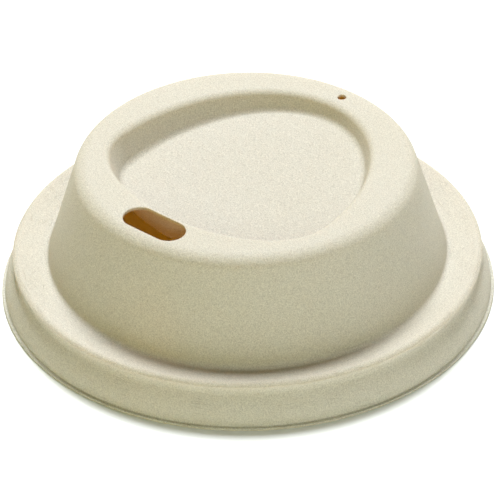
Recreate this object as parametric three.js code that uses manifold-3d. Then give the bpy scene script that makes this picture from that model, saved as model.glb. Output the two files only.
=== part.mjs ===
// Lid of moulded fibre for a takeaway cup with a 90 mm rim: one thin wall, pressed from wet pulp.
// Millimetres, +Z up, origin at the centre of the foot. The sip slot is at -Y, the vent at +Y.

import * as THREE from 'three';
import { ParametricGeometry } from 'three/addons/geometries/ParametricGeometry.js';
import { mergeVertices } from 'three/addons/utils/BufferGeometryUtils.js';
import Module from 'manifold-3d';

const HEIGHT = 28.9;
const WALL = 0.7; // thickness of the pressed fibre everywhere but at the lip
const SEGMENTS = 64; // steps around the lid

// Pocket that snaps over the cup's rolled rim, and the skirt below it
const POCKET_RADIUS = 44.35;
const SNAP_DEPTH = 0.1; // how far the skirt nips in under the rolled rim
const RING_HEIGHT = 9.3; // where the ring's sloping top would meet the skirt
const RING_EDGE_RADIUS = 1.2;
const SNAP_HEIGHT = 6.85;
const SNAP_BEND_RADIUS = 2.5;
const FLARE_HEIGHT = 3.4;
const FLARE = 1.95; // how far the foot of the skirt stands outside the pocket
const FLARE_BEND_RADIUS = 11;
const LEAD_IN = 0.2;
const LIP_WIDTH = 0.6;
const LIP_THICKNESS = 0.6;

// Dome
const GROOVE_RADIUS = 38.75; // where the dome's wall comes down on the ring
const GROOVE_DROP = 1.5; // how far the ring's top falls from the skirt to the groove
const GROOVE_BEND_RADIUS = 0.9;
const DOME_DRAFT = 16.4; // degrees from upright
const SHOULDER_RADIUS = 3;

// Recess in the dome's top: an egg-shaped pan whose floor slopes down to the sip slot
const RECESS_HALF_WIDTH = 25.4;
const RECESS_WIDEST_Y = -7.5;
const RECESS_FRONT_LENGTH = 15.3; // from the widest line towards the slot
const RECESS_BACK_LENGTH = 33.4; // from the widest line towards the vent
const RECESS_DEPTH = 5.55; // on the lid's axis
const RECESS_FLOOR_SLOPE = 0.09; // rise towards the vent, per millimetre
const RECESS_DRAFT = 20; // degrees from upright
const RECESS_EDGE_RADIUS = 1.6;
const RECESS_FOOT_RADIUS = 1.5;

// Holes through the rim of the dome
const SLOT_LENGTH = 13.7;
const SLOT_WIDTH = 6.4;
const SLOT_SETBACK = 4; // from the recess's front to the middle of the slot
const VENT_DIAMETER = 1.6;
const VENT_SETBACK = 3; // from the recess's back to the vent

const wasm = await Module();
wasm.setup();

const polar = (radius, angle) => new THREE.Vector2(radius * Math.cos(angle), radius * Math.sin(angle));
const tangent = (degrees) => Math.tan(THREE.MathUtils.degToRad(degrees));
const corner = (x, y, radius = 0, steps = 1) => ({ at: new THREE.Vector2(x, y), radius, steps });

// Unit direction of the profile from corner i to the next one
function heading(corners, i) {
	return corners[i + 1].at.clone().sub(corners[i].at).normalize();
}

// Moves a profile to its right by the wall thickness: straight runs stay parallel and each arc
// keeps its centre, so its radius grows or shrinks by the same amount.
function inset(corners, distance) {
	return corners.map(({ at, radius, steps }, i) => {
		const before = heading(corners, Math.max(i - 1, 0));
		const after = heading(corners, Math.min(i, corners.length - 2));
		const turn = Math.asin(THREE.MathUtils.clamp(before.cross(after), -1, 1));
		const across = before.clone().add(after).normalize();
		const shift = new THREE.Vector2(across.y, -across.x).multiplyScalar(distance / Math.cos(turn / 2));
		return { at: at.clone().add(shift), radius: radius + Math.sign(turn) * distance, steps };
	});
}

// Replaces every inner corner of a profile by points on the arc that touches both its sides
function rounded(corners) {
	return corners.flatMap(({ at, radius, steps }, i) => {
		if (i === 0 || i === corners.length - 1 || steps < 2) return [at];
		const before = heading(corners, i - 1);
		const after = heading(corners, i);
		const turn = Math.asin(THREE.MathUtils.clamp(before.cross(after), -1, 1));
		const start = at.clone().addScaledVector(before, -radius * Math.tan(Math.abs(turn) / 2));
		const spoke = new THREE.Vector2(before.y, -before.x).multiplyScalar(Math.sign(turn) * radius);
		const centre = start.clone().sub(spoke);
		return Array.from({ length: steps + 1 }, (_, k) =>
			spoke.clone().rotateAround(new THREE.Vector2(), turn * k / steps).add(centre));
	});
}

// A ring of the skin, as a function of the angle around the lid, from a point of a revolved profile
const revolvedRing = ({ x, y }) => (angle) => {
	const plan = polar(x, angle);
	return new THREE.Vector3(plan.x, plan.y, y);
};

// Outside of the dome, the ring and the skirt, from the rim of the dome down to the foot
const skirtRadius = POCKET_RADIUS + WALL;
const flareRadius = skirtRadius + FLARE;
const footRadius = flareRadius + LEAD_IN;
const grooveHeight = RING_HEIGHT - GROOVE_DROP;
const shoulderCorner = GROOVE_RADIUS - (HEIGHT - grooveHeight) * tangent(DOME_DRAFT);
const domeProfile = [
	corner(shoulderCorner - 2 * SHOULDER_RADIUS, HEIGHT),
	corner(shoulderCorner, HEIGHT, SHOULDER_RADIUS, 6),
	corner(GROOVE_RADIUS, grooveHeight, GROOVE_BEND_RADIUS, 3),
	corner(skirtRadius, RING_HEIGHT, RING_EDGE_RADIUS, 6),
	corner(skirtRadius - SNAP_DEPTH, SNAP_HEIGHT, SNAP_BEND_RADIUS, 3),
	corner(flareRadius, FLARE_HEIGHT, FLARE_BEND_RADIUS, 4),
	corner(footRadius, 0),
];
const lip = [
	new THREE.Vector2(footRadius, LIP_THICKNESS),
	new THREE.Vector2(footRadius + LIP_WIDTH, LIP_THICKNESS),
	new THREE.Vector2(footRadius + LIP_WIDTH, 0),
];
const domeOutside = [...rounded(domeProfile).slice(1, -1), ...lip];
const domeInside = rounded(inset(domeProfile, WALL)).slice(1, -1);
const footInside = new THREE.Vector2(footRadius - WALL, 0);

// Outline of the recess: two half ellipses that meet on its widest line, with the normal there
function recessOutline(angle) {
	const length = Math.sin(angle) > 0 ? RECESS_BACK_LENGTH : RECESS_FRONT_LENGTH;
	const point = new THREE.Vector2(RECESS_HALF_WIDTH * Math.cos(angle), length * Math.sin(angle));
	const normal = new THREE.Vector2(point.x / RECESS_HALF_WIDTH ** 2, point.y / length ** 2).normalize();
	return { point: point.setY(point.y + RECESS_WIDEST_Y), normal };
}

const floorHeight = (y) => HEIGHT - RECESS_DEPTH + RECESS_FLOOR_SLOPE * y;

// Section of the recess square to its outline: sloping floor, drafted wall, rim. The wall meets
// the floor where its draft has used up the depth, which changes with the floor's slope.
function recessSection(angle) {
	const { point, normal } = recessOutline(angle);
	const slope = RECESS_FLOOR_SLOPE * normal.y;
	const depth = HEIGHT - floorHeight(point.y);
	const run = depth * tangent(RECESS_DRAFT) / (1 - slope * tangent(RECESS_DRAFT));
	const inward = run + 2 * RECESS_FOOT_RADIUS;
	return [
		corner(-inward, HEIGHT - depth - inward * slope),
		corner(-run, HEIGHT - depth - run * slope, RECESS_FOOT_RADIUS, 4),
		corner(0, HEIGHT, RECESS_EDGE_RADIUS, 4),
		corner(2 * RECESS_EDGE_RADIUS, HEIGHT),
	];
}

// Ring number k of the recess, on its upper side or below it by the wall's thickness
const recessRing = (k, thickness) => (angle) => {
	const { point, normal } = recessOutline(angle);
	const offset = rounded(inset(recessSection(angle), thickness))[k];
	const plan = point.addScaledVector(normal, offset.x);
	return new THREE.Vector3(plan.x, plan.y, offset.y);
};

// The whole skin, ring by ring: out over the top, down to the lip, and back along the inside
const recessCount = rounded(recessSection(0)).length;
const recessRings = (thickness) =>
	Array.from({ length: recessCount - 2 }, (_, k) => recessRing(k + 1, thickness));
const pole = (height) => () => new THREE.Vector3(0, 0, height);
const floorThickness = WALL * Math.hypot(1, RECESS_FLOOR_SLOPE);
const rings = [
	pole(floorHeight(0)),
	...recessRings(0),
	...domeOutside.map(revolvedRing),
	...[footInside, ...domeInside.reverse()].map(revolvedRing),
	...recessRings(WALL).reverse(),
	pole(floorHeight(0) - floorThickness),
];
const skin = new ParametricGeometry((u, v, target) => {
	target.copy(rings[Math.round(v * (rings.length - 1))](-2 * Math.PI * (u % 1)));
}, SEGMENTS, rings.length - 1);

// Merges the seam and the poles of a geometry, drops the flat triangles there, and makes a solid
function solid(geometry) {
	geometry.deleteAttribute('normal');
	geometry.deleteAttribute('uv');
	const merged = mergeVertices(geometry, 1e-4);
	const index = merged.index.array;
	const triangles = [];
	for (let i = 0; i < index.length; i += 3) {
		const [a, b, c] = index.slice(i, i + 3);
		if (a !== b && b !== c && c !== a) triangles.push(a, b, c);
	}
	const vertProperties = new Float32Array(merged.attributes.position.array);
	const triVerts = new Uint32Array(triangles);
	return new wasm.Manifold(new wasm.Mesh({ numProp: 3, vertProperties, triVerts }));
}

function slotCutter() {
	const end = SLOT_WIDTH / 2;
	const half = SLOT_LENGTH / 2 - end;
	const outline = new THREE.Shape();
	outline.absarc(half, 0, end, -Math.PI / 2, Math.PI / 2);
	outline.absarc(-half, 0, end, Math.PI / 2, 3 * Math.PI / 2);
	const cutter = new THREE.ExtrudeGeometry(outline, {
		depth: 2 * SHOULDER_RADIUS, curveSegments: 16, bevelEnabled: false,
	});
	const y = RECESS_WIDEST_Y - RECESS_FRONT_LENGTH - SLOT_SETBACK;
	return cutter.translate(0, y, HEIGHT - SHOULDER_RADIUS);
}

function ventCutter() {
	const radius = VENT_DIAMETER / 2;
	const cutter = new THREE.CylinderGeometry(radius, radius, 4 * WALL, 16);
	const y = RECESS_WIDEST_Y + RECESS_BACK_LENGTH + VENT_SETBACK;
	return cutter.rotateX(Math.PI / 2).translate(0, y, HEIGHT);
}

const pressed = solid(skin).subtract(solid(slotCutter())).subtract(solid(ventCutter()));
const { vertProperties, triVerts } = pressed.getMesh();
const geometry = new THREE.BufferGeometry();
geometry.setAttribute('position', new THREE.BufferAttribute(vertProperties, 3));
geometry.setIndex(new THREE.BufferAttribute(triVerts, 1));
geometry.computeVertexNormals();

const fibre = new THREE.MeshStandardMaterial({ color: 0xe6e1ce, roughness: 0.9, metalness: 0 });
const lid = new THREE.Mesh(geometry, fibre);
lid.name = 'lid';

const part = new THREE.Group();
part.add(lid);

export default part;
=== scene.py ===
import math
import bpy
import numpy as np
from mathutils import Matrix, Vector


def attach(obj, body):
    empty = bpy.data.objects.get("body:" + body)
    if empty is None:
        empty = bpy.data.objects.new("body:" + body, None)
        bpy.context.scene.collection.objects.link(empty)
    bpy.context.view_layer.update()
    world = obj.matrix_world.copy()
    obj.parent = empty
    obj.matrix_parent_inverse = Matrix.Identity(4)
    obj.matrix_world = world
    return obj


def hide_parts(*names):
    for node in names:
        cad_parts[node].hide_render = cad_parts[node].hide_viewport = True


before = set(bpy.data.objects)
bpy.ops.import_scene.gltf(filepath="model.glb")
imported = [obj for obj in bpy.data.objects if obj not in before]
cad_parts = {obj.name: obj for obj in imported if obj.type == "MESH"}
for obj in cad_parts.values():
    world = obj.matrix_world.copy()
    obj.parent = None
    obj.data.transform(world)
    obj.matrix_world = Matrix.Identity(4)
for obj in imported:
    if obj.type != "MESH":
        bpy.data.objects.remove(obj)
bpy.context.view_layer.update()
scene = bpy.context.scene
print("loaded the packed lid")


# Camera

view = {
    "azimuth": 40.94,  # degrees round from the sip slot's side
    "elevation": 35.33,
    "distance": 1.25,
    "lens": 462.7,
    "roll": 1.1,
    "aimRight": 0.00036,  # what the middle of the picture looks at, off the foot's centre
    "aimUp": 0.00675,
    "clip": (0.1, 20),
}


def placeCamera(view):
    turn, lift, roll = (math.radians(view[key]) for key in ("azimuth", "elevation", "roll"))
    back = Vector((math.sin(turn) * math.cos(lift), -math.cos(turn) * math.cos(lift), math.sin(lift)))
    level = Vector((math.cos(turn), math.sin(turn), 0))
    upright = back.cross(level)
    right = level * math.cos(roll) - upright * math.sin(roll)
    up = level * math.sin(roll) + upright * math.cos(roll)
    place = back * view["distance"]
    away = (place - right * view["aimRight"] - up * view["aimUp"]).normalized()
    right = up.cross(away).normalized()
    up = away.cross(right)
    data = bpy.data.cameras.new("camera")
    data.lens = view["lens"]
    data.clip_start, data.clip_end = view["clip"]
    camera = bpy.data.objects.new("camera", data)
    camera.matrix_world = Matrix.Translation(place) @ Matrix((right, up, away)).transposed().to_4x4()
    scene.collection.objects.link(camera)
    scene.camera = camera


placeCamera(view)
print("camera placed")


# Lid: sizes in millimetres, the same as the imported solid's

lid = {
    "height": 28.9,
    "wall": 0.7,
    "pocket": 44.35,
    "snap": 0.1,
    "ringHeight": 9.3,
    "ringEdge": 1.2,
    "snapHeight": 6.85,
    "snapBend": 2.5,
    "flareHeight": 3.4,
    "flare": 1.95,
    "flareBend": 11.0,
    "leadIn": 0.2,
    "lipWidth": 0.6,
    "lipThickness": 0.6,
    "lipEdge": 0.22,
    "groove": 38.75,
    "grooveDrop": 1.5,
    "grooveBend": 0.9,
    "draft": 16.4,
    "shoulder": 3.0,
    "panHalfWidth": 25.4,
    "panWidest": -7.5,
    "panFront": 15.3,
    "panBack": 33.4,
    "panDepth": 5.55,
    "panSlope": 0.09,
    "panDraft": 20,
    "panEdge": 1.6,
    "panFoot": 1.5,
    "slotLength": 13.7,
    "slotWidth": 6.4,
    "slotSetback": 4.0,
    "vent": 1.6,
    "ventSetback": 3.0,
    "ventUneven": 0.04,
    "holeEdge": 0.2,
    # how finely it is stepped: arcs by their number of steps, straight runs by their longest step
    "columns": 480,
    "outsideArcs": (0, 16, 8, 12, 6, 10, 0),
    "insideArcs": (0, 8, 6, 6, 4, 6, 0),
    "lipArcs": (0, 4, 4, 4, 4, 0),
    "panTopArc": 12,
    "panUnderArc": 6,
    "domeStep": 1.2,
    "rimTopStep": 1.2,
    "rimUnderStep": 2,
    "floorTopStep": 2.5,
    "floorUnderStep": 4,
    "slotPoints": 64,
    "ventPoints": 32,
    "holeEdgeSteps": 4,
    "plugClear": 0.02,  # how far a plug stands off the eased edge that it cuts
    "plugReach": 1,  # how far it passes the wall on either side
    "sharpAngle": 50,  # degrees between two faces, from which their edge stays sharp
}


def headings(corners):
    # unit steps from each corner of a profile to the next, for one profile or a whole array of them
    steps = np.diff(corners, axis=0)
    return steps / np.linalg.norm(steps, axis=-1, keepdims=True)


def turnsBetween(before, after):
    # signed angles from one unit step to the next: arcsine of their cross product
    across = before[..., 0] * after[..., 1] - before[..., 1] * after[..., 0]
    return np.arcsin(np.clip(across, -1, 1))


def inset(corners, radii, distance):
    # a profile moved to its right: each corner goes along the bisector of its two sides by
    # distance / cos(half the turn), and its arc's radius changes by the distance, by the turn's sign
    steps = headings(corners)
    before = np.concatenate([steps[:1], steps])
    after = np.concatenate([steps, steps[-1:]])
    turn = turnsBetween(before, after)
    across = before + after
    across = across / np.linalg.norm(across, axis=-1, keepdims=True)
    shift = np.stack([across[..., 1], -across[..., 0]], -1) * (distance / np.cos(turn / 2))[..., None]
    radii = np.asarray(radii, float).reshape((-1,) + (1,) * (turn.ndim - 1))
    return corners + shift, radii + np.sign(turn) * distance


def rounded(corners, radii, arcSteps):
    # a profile with every inner corner replaced by points on the arc that touches both its sides:
    # centre + the spoke to the arc's start, turned by 0 to the whole turn
    steps = headings(corners)
    rows = [corners[:1]]
    for i in range(1, len(corners) - 1):
        before, after = steps[i - 1], steps[i]
        turn = turnsBetween(before, after)
        radius = np.broadcast_to(radii[i], turn.shape)
        start = corners[i] - before * (radius * np.tan(np.abs(turn) / 2))[..., None]
        spoke = np.stack([before[..., 1], -before[..., 0]], -1) * (np.sign(turn) * radius)[..., None]
        share = np.linspace(0, 1, arcSteps[i] + 1).reshape((-1,) + (1,) * turn.ndim)
        c, s = np.cos(turn * share), np.sin(turn * share)
        x, y = spoke[..., 0], spoke[..., 1]
        rows.append(start - spoke + np.stack([c * x - s * y, s * x + c * y], -1))
    rows.append(corners[-1:])
    return np.concatenate(rows)


def filled(rows, longest):
    # extra rows, evenly spaced, wherever two neighbouring rows lie further apart than longest
    gaps = np.linalg.norm(np.diff(rows, axis=0), axis=-1)
    gaps = gaps.reshape(len(gaps), -1).max(axis=1)
    parts = []
    for i, gap in enumerate(gaps):
        count = max(1, math.ceil(gap / longest))
        share = (np.arange(count) / count).reshape((-1,) + (1,) * (rows.ndim - 1))
        parts.append(rows[i] + share * (rows[i + 1] - rows[i]))
    parts.append(rows[-1:])
    return np.concatenate(parts)


def panOutline(lid, angle):
    # egg: two half ellipses that meet on the widest line, and the unit normal of the ellipse there
    a = lid["panHalfWidth"]
    b = np.where(np.sin(angle) > 0, lid["panBack"], lid["panFront"])
    point = np.stack([a * np.cos(angle), b * np.sin(angle)], -1)
    normal = np.stack([point[:, 0] / a**2, point[:, 1] / b**2], -1)
    normal /= np.linalg.norm(normal, axis=-1, keepdims=True)
    return point + np.array([0, lid["panWidest"]]), normal


def panRows(lid, angle, thickness, arcSteps):
    # section square to the egg: sloping floor, drafted wall, rim, carried round the egg; the wall
    # runs in by depth * tan(draft) / (1 - slope * tan(draft)), where it meets the floor
    point, normal = panOutline(lid, angle)
    draft = math.tan(math.radians(lid["panDraft"]))
    slope = lid["panSlope"] * normal[:, 1]
    depth = lid["panDepth"] - lid["panSlope"] * point[:, 1]
    run = depth * draft / (1 - slope * draft)
    inward = run + 2 * lid["panFoot"]
    zero = np.zeros_like(run)
    top = zero + lid["height"]
    corners = np.stack([
        np.stack([-inward, top - depth - inward * slope], -1),
        np.stack([-run, top - depth - run * slope], -1),
        np.stack([zero, top], -1),
        np.stack([zero + 2 * lid["panEdge"], top], -1),
    ])
    corners, radii = inset(corners, [0, lid["panFoot"], lid["panEdge"], 0], thickness)
    path = rounded(corners, radii, [0, arcSteps, arcSteps, 0])[1:-1]
    plan = point + normal * path[..., :1]
    return np.concatenate([plan, path[..., 1:]], -1)


def domeProfile(lid):
    # half a section: from the dome's rim over the ring and down the skirt, round the lip, and back
    # up the inside at the wall's thickness
    skirt = lid["pocket"] + lid["wall"]
    foot = skirt + lid["flare"] + lid["leadIn"]
    grooveHeight = lid["ringHeight"] - lid["grooveDrop"]
    rise = lid["height"] - grooveHeight
    shoulderAt = lid["groove"] - rise * math.tan(math.radians(lid["draft"]))
    corners = np.array([
        (shoulderAt - 2 * lid["shoulder"], lid["height"]),
        (shoulderAt, lid["height"]),
        (lid["groove"], grooveHeight),
        (skirt, lid["ringHeight"]),
        (skirt - lid["snap"], lid["snapHeight"]),
        (skirt + lid["flare"], lid["flareHeight"]),
        (foot, 0),
    ])
    bends = [lid[key] for key in ("shoulder", "grooveBend", "ringEdge", "snapBend", "flareBend")]
    radii = np.array([0, *bends, 0])
    outside = rounded(corners, radii, lid["outsideArcs"])[1:-1]
    innerCorners, innerRadii = inset(corners, radii, lid["wall"])
    inside = rounded(innerCorners, innerRadii, lid["insideArcs"])[1:-1][::-1]
    lipCorners = np.array([
        outside[-1],
        (foot, lid["lipThickness"]),
        (foot + lid["lipWidth"], lid["lipThickness"]),
        (foot + lid["lipWidth"], 0),
        (foot - lid["wall"], 0),
        (foot - lid["wall"], lid["lipThickness"]),
    ])
    lipRadii = np.array([0, 1, 1, 1, 1, 0]) * lid["lipEdge"]
    lip = rounded(lipCorners, lipRadii, lid["lipArcs"])[1:-1]
    return filled(np.concatenate([outside, lip, inside]), lid["domeStep"])


def revolved(path, angle):
    # each profile point (radius, height) carried round the axis
    x = path[:, :1] * np.cos(angle)
    y = path[:, :1] * np.sin(angle)
    z = np.broadcast_to(path[:, 1:], x.shape)
    return np.stack([x, y, z], -1)


def lidRows(lid):
    # the whole skin, row by row: out over the top, down to the lip, and back along the inside
    angle = -np.arange(lid["columns"]) * 2 * math.pi / lid["columns"]
    upper = panRows(lid, angle, 0, lid["panTopArc"])
    lower = panRows(lid, angle, lid["wall"], lid["panUnderArc"])[::-1]
    dome = revolved(domeProfile(lid), angle)
    middle = lid["height"] - lid["panDepth"]
    thick = lid["wall"] * math.hypot(1, lid["panSlope"])
    top, under = (np.broadcast_to(np.array([0, 0, z]), (1,) + upper.shape[1:])
                  for z in (middle, middle - thick))
    parts = [
        filled(np.concatenate([top, upper[:1]]), lid["floorTopStep"]),
        upper,
        filled(np.concatenate([upper[-1:], dome[:1]]), lid["rimTopStep"]),
        dome,
        filled(np.concatenate([dome[-1:], lower[:1]]), lid["rimUnderStep"]),
        lower,
        filled(np.concatenate([lower[-1:], under]), lid["floorUnderStep"]),
    ]
    # each part starts with the row that the one before it ends with
    return np.concatenate([part[:-1] for part in parts[:-1]] + parts[-1:])


def ringsToMesh(name, rows):
    # rows of points round the axis; the first and last row are single points at the poles
    count, columns = rows.shape[:2]
    points = np.concatenate([rows[0, :1], rows[1:-1].reshape(-1, 3), rows[-1, :1]]) * 0.001
    near = np.arange(columns)
    far = np.roll(near, -1)
    ring = 1 + np.arange(count - 3)[:, None] * columns
    quads = np.stack([ring + near, ring + near + columns, ring + far + columns, ring + far], -1)
    last = 1 + (count - 3) * columns
    start = np.stack([np.zeros_like(near), 1 + near, 1 + far], -1)
    end = np.stack([np.full_like(near, len(points) - 1), last + far, last + near], -1)
    return meshFrom(name, points, [start, quads.reshape(-1, 4), end])


def meshFrom(name, points, faceGroups):
    data = bpy.data.meshes.new(name)
    loops = np.concatenate([faces.ravel() for faces in faceGroups])
    sizes = np.concatenate([np.full(len(faces), faces.shape[1]) for faces in faceGroups])
    data.vertices.add(len(points))
    data.vertices.foreach_set("co", points.astype(np.float32).ravel())
    data.loops.add(len(loops))
    data.loops.foreach_set("vertex_index", loops.astype(np.int32))
    data.polygons.add(len(sizes))
    data.polygons.foreach_set("loop_start", (np.cumsum(sizes) - sizes).astype(np.int32))
    data.update(calc_edges=True)
    data.validate()
    piece = bpy.data.objects.new(name, data)
    scene.collection.objects.link(piece)
    return piece


def holeCutter(name, outline, lid):
    # plug for a hole with eased edges: the outline, moved out by a quarter round at each face of the
    # wall; outline(offset) gives the plan points
    edge, top, bottom = lid["holeEdge"], lid["height"], lid["height"] - lid["wall"]
    clear, reach = lid["plugClear"], lid["plugReach"]
    bend = np.linspace(0, math.pi / 2, lid["holeEdgeSteps"] + 1)
    out = edge * (1 - np.sin(bend)) + clear
    above = np.stack([out, top - edge + edge * np.cos(bend)], -1)
    below = np.stack([out, bottom + edge - edge * np.cos(bend)], -1)[::-1]
    first, last = [(edge + clear, top + reach)], [(edge + clear, bottom - reach)]
    rows = []
    for offset, z in np.concatenate([first, above, below, last]):
        plan = outline(offset)
        rows.append(np.concatenate([plan, np.full((len(plan), 1), z)], -1))
    poles = [np.broadcast_to(row.mean(axis=0), row.shape) for row in (rows[0], rows[-1])]
    return ringsToMesh(name, np.stack([poles[0], *rows, poles[1]]))


def slotOutline(lid):
    y = lid["panWidest"] - lid["panFront"] - lid["slotSetback"]

    def outline(out):
        # stadium: a half circle round each end of a short line
        radius = lid["slotWidth"] / 2
        half = lid["slotLength"] / 2 - radius
        angle = (np.arange(lid["slotPoints"]) + 0.5) * 2 * math.pi / lid["slotPoints"]
        x = np.sign(np.cos(angle)) * half + (radius + out) * np.cos(angle)
        return np.stack([x, y + (radius + out) * np.sin(angle)], -1)

    return outline


def ventOutline(lid):
    y = lid["panWidest"] + lid["panBack"] + lid["ventSetback"]

    def outline(out):
        # slightly uneven ring, as a pin leaves in wet fibre: three slow waves on the radius
        angle = (np.arange(lid["ventPoints"]) + 0.5) * 2 * math.pi / lid["ventPoints"]
        radius = lid["vent"] / 2 + out + lid["ventUneven"] * np.sin(3 * angle + 1)
        return np.stack([radius * np.cos(angle), y + radius * np.sin(angle)], -1)

    return outline


def cutHole(piece, cutter):
    cut = piece.modifiers.new("cut", "BOOLEAN")
    cut.operation = "DIFFERENCE"
    cut.solver = "EXACT"
    cut.object = cutter
    with bpy.context.temp_override(object=piece, active_object=piece):
        bpy.ops.object.modifier_apply(modifier=cut.name)
    data = cutter.data
    bpy.data.objects.remove(cutter)
    bpy.data.meshes.remove(data)


lidSkin = ringsToMesh("lidSkin", lidRows(lid))
print("lid skin made:", len(lidSkin.data.polygons), "faces")
cutHole(lidSkin, holeCutter("slotPlug", slotOutline(lid), lid))
cutHole(lidSkin, holeCutter("ventPlug", ventOutline(lid), lid))
lidSkin.data.polygons.foreach_set("use_smooth", np.ones(len(lidSkin.data.polygons), bool))
lidSkin.data.set_sharp_from_angle(angle=math.radians(lid["sharpAngle"]))
print("holes cut:", len(lidSkin.data.polygons), "faces")


# Shader helpers

class Socket:
    # wraps an output socket, so that + - * / and ** on values add their Math nodes
    def __init__(self, graph, link):
        self.graph, self.link = graph, link

    def maths(self, operation, *values):
        inputs = dict(enumerate(values or (self,)))
        return self.graph.node("ShaderNodeMath", {"operation": operation}, inputs)["Value"]

    def __add__(self, other): return self.maths("ADD", self, other)
    def __radd__(self, other): return self.maths("ADD", other, self)
    def __sub__(self, other): return self.maths("SUBTRACT", self, other)
    def __rsub__(self, other): return self.maths("SUBTRACT", other, self)
    def __mul__(self, other): return self.maths("MULTIPLY", self, other)
    def __rmul__(self, other): return self.maths("MULTIPLY", other, self)
    def __truediv__(self, other): return self.maths("DIVIDE", self, other)
    def __rtruediv__(self, other): return self.maths("DIVIDE", other, self)
    def __pow__(self, other): return self.maths("POWER", self, other)


class Graph:
    def __init__(self, owner):
        owner.use_nodes = True
        self.tree = owner.node_tree
        self.tree.nodes.clear()

    def node(self, kind, settings=None, inputs=None):
        # one node of any type: its settings first, then the values or links of its sockets
        node = self.tree.nodes.new(kind)
        for key, value in (settings or {}).items():
            setattr(node, key, value)
        for key, value in (inputs or {}).items():
            if isinstance(value, Socket):
                self.tree.links.new(value.link, node.inputs[key])
            else:
                node.inputs[key].default_value = value
        return {out.name: Socket(self, out) for out in node.outputs if out.enabled}

    def ramp(self, value, low, high):
        # 0 at low and 1 at high, with a smooth step between them
        return self.node("ShaderNodeMapRange", {"interpolation_type": "SMOOTHSTEP"},
                         {"Value": value, "From Min": low, "From Max": high})["Result"]

    def mix(self, factor, a, b):
        return self.node("ShaderNodeMix", {"data_type": "RGBA"},
                         {"Factor": factor, "A": a, "B": b})["Result"]


# Fibre: lengths in metres, and scales of noise per metre

fibre = {
    "colour": (0.675, 0.67, 0.60),
    "warm": (0.64, 0.615, 0.505),
    "cloudScale": 45,
    "cloudTint": 0.55,  # how far the clouds and the flocs draw the colour to the warm one
    "flocTint": 0.35,
    "tintShift": -0.12,
    "flocScale": 1100,
    "flocTone": 0.05,  # how much lighter and darker the flocs and the grain are
    "flocDepth": 0.00006,
    "grainScale": 4400,
    "grainTone": 1.3,
    "grainDepth": 0.00005,
    "fleck": (0.45, 0.35, 0.22),
    "fleckScale": 1250,
    "fleckRange": (0.75, 0.80),
    "fleckStrength": 0.3,
    "creaseAround": 6,  # the crease noise per radian round the axis, and per metre across
    "creaseAcross": 620,
    "creaseWidth": 0.03,
    "creaseDepth": 0.00007,
    "patchScale": 170,
    "patchRange": (0.5, 0.62),
    "patchHeight": (0.0098, 0.009),
    "roughness": 0.8,
    "roughnessSpread": 0.1,
    "specular": 0.3,
    "through": (1.0, 0.6, 0.1),  # what is left of white light behind the wall
    "throughShare": 0.27,
}


def fibreMaterial(fibre):
    # pressed pulp: cream with slow warm clouds, fine flocs and grain in relief, faint creases that
    # run round the ring and the skirt, and a few dark flecks
    material = bpy.data.materials.new("pressedFibre")
    g = Graph(material)
    place = g.node("ShaderNodeTexCoord")["Object"]

    def noise(scale, detail, roughness=0.5, at=place):
        return g.node("ShaderNodeTexNoise", {"noise_dimensions": "3D"},
                      {"Vector": at, "Scale": scale, "Detail": detail, "Roughness": roughness})["Fac"]

    def bump(height, depth, normal=None):
        inputs = {"Height": height, "Distance": depth, "Strength": 1.0}
        if normal:
            inputs["Normal"] = normal
        return g.node("ShaderNodeBump", {}, inputs)["Normal"]

    clouds = noise(fibre["cloudScale"], 3)
    flocs = noise(fibre["flocScale"], 3, 0.6)
    grain = noise(fibre["grainScale"], 2, 0.6)
    fleck = g.ramp(noise(fibre["fleckScale"], 1), *fibre["fleckRange"])

    # creases: lines where a noise drawn out round the axis comes within the width of its middle,
    # deepest on it, kept where a coarser noise is high and only on the ring and the skirt
    axes = g.node("ShaderNodeSeparateXYZ", {}, {"Vector": place})
    x, y, z = axes["X"], axes["Y"], axes["Z"]
    radius = (x * x + y * y) ** 0.5
    along = g.node("ShaderNodeCombineXYZ", {}, {
        "X": x / radius * fibre["creaseAround"],
        "Y": y / radius * fibre["creaseAround"],
        "Z": (z - radius) * fibre["creaseAcross"]})["Vector"]
    offMiddle = (noise(1, 2, 0.6, along) - 0.5).maths("ABSOLUTE")
    patches = g.ramp(noise(fibre["patchScale"], 1), *fibre["patchRange"])
    crease = g.ramp(offMiddle, fibre["creaseWidth"], 0.0) * patches * g.ramp(z, *fibre["patchHeight"])

    tint = clouds * fibre["cloudTint"] + flocs * fibre["flocTint"] + fibre["tintShift"]
    base = g.mix(tint, (*fibre["colour"], 1), (*fibre["warm"], 1))
    base = g.mix(fleck * fibre["fleckStrength"], base, (*fibre["fleck"], 1))
    speckle = 1 + (grain - 0.5) * fibre["grainTone"] + (flocs - 0.5) * fibre["flocTone"]
    base = g.node("ShaderNodeVectorMath", {"operation": "SCALE"}, {0: base, "Scale": speckle})["Vector"]
    relief = bump(flocs, fibre["flocDepth"])
    relief = bump(grain, fibre["grainDepth"], relief)
    relief = bump(1 - crease, fibre["creaseDepth"], relief)
    shader = g.node("ShaderNodeBsdfPrincipled", {}, {
        "Base Color": base,
        "Roughness": flocs * fibre["roughnessSpread"] + fibre["roughness"],
        "Normal": relief,
        "Specular IOR Level": fibre["specular"]})["BSDF"]
    # the thin wall lets some light through, which warms the inside of the dome
    glow = g.node("ShaderNodeBsdfTranslucent", {}, {"Color": (*fibre["through"], 1)})["BSDF"]
    both = g.node("ShaderNodeMixShader", {}, {0: fibre["throughShare"], 1: shader, 2: glow})["Shader"]
    g.node("ShaderNodeOutputMaterial", {}, {"Surface": both})
    return material


lidSkin.data.materials.append(fibreMaterial(fibre))
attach(lidSkin, "root")
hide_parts("lid")
print("fibre material made")


# Floor and light

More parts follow.
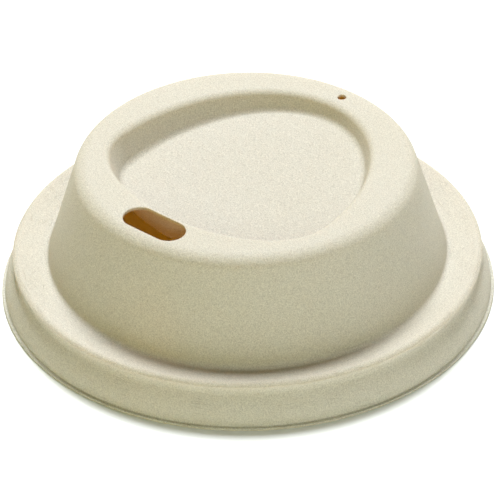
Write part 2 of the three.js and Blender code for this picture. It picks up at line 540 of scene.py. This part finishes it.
studio = {
    "floor": (0.93, 0.93, 0.925),
    "floorReach": 3.0,
    "floorRoughness": 0.9,
    "floorSpecular": 0.1,
    "zenith": (0.06, 0.05, 0.03),
    "horizon": (0.86, 0.86, 0.16),
    "skyRise": (0.15, 0.4),  # height of the direction where the horizon ends and the zenith starts
    "aim": (0, 0, 0.01),
    # each softbox stands at an angle from the camera's side, a distance and a height
    "softboxes": [
        {"name": "key", "azimuth": 180, "distance": 0.516, "height": 0.971,
         "size": (0.34, 0.34), "watts": 19.8, "colour": (0.905, 0.945, 0.98)},
        {"name": "frontFill", "azimuth": 0, "distance": 0.982, "height": 0.496,
         "size": (0.8, 0.3), "watts": 3.8, "colour": (0.92, 1.0, 0.82)},
        {"name": "rightFill", "azimuth": 60, "distance": 1.076, "height": 0.229,
         "size": (0.8, 0.4), "watts": 2.2, "colour": (0.5, 0.6, 1.0)},
    ],
}


def makeFloor(studio):
    reach = studio["floorReach"]
    points = np.array([(-reach, -reach, 0), (reach, -reach, 0), (reach, reach, 0), (-reach, reach, 0)])
    floor = meshFrom("floor", points, [np.array([[0, 1, 2, 3]])])
    material = bpy.data.materials.new("paleFloor")
    g = Graph(material)
    shader = g.node("ShaderNodeBsdfPrincipled", {}, {
        "Base Color": (*studio["floor"], 1),
        "Roughness": studio["floorRoughness"],
        "Specular IOR Level": studio["floorSpecular"]})["BSDF"]
    g.node("ShaderNodeOutputMaterial", {}, {"Surface": shader})
    floor.data.materials.append(material)


def makeSky(studio):
    # bright low down, dark overhead: the blend follows the height of the direction
    world = bpy.data.worlds.new("studio")
    scene.world = world
    g = Graph(world)
    axes = g.node("ShaderNodeSeparateXYZ", {}, {"Vector": g.node("ShaderNodeTexCoord")["Generated"]})
    rise = g.ramp(axes["Z"], *studio["skyRise"])
    sky = g.mix(rise, (*studio["horizon"], 1), (*studio["zenith"], 1))
    light = g.node("ShaderNodeBackground", {}, {"Color": sky, "Strength": 1.0})["Background"]
    g.node("ShaderNodeOutputWorld", {}, {"Surface": light})


def makeSoftbox(box, view, aim):
    turn = math.radians(view["azimuth"] + box["azimuth"])
    place = Vector((box["distance"] * math.sin(turn), -box["distance"] * math.cos(turn), box["height"]))
    data = bpy.data.lights.new(box["name"], "AREA")
    data.shape = "RECTANGLE"
    data.size, data.size_y = box["size"]
    data.energy = box["watts"]
    data.color = box["colour"]
    light = bpy.data.objects.new(box["name"], data)
    light.location = place
    light.rotation_euler = (Vector(aim) - place).to_track_quat("-Z", "Y").to_euler()
    scene.collection.objects.link(light)


makeFloor(studio)
for box in studio["softboxes"]:
    makeSoftbox(box, view, studio["aim"])
makeSky(studio)
scene.view_settings.view_transform = "Standard"
print("floor and lights set")
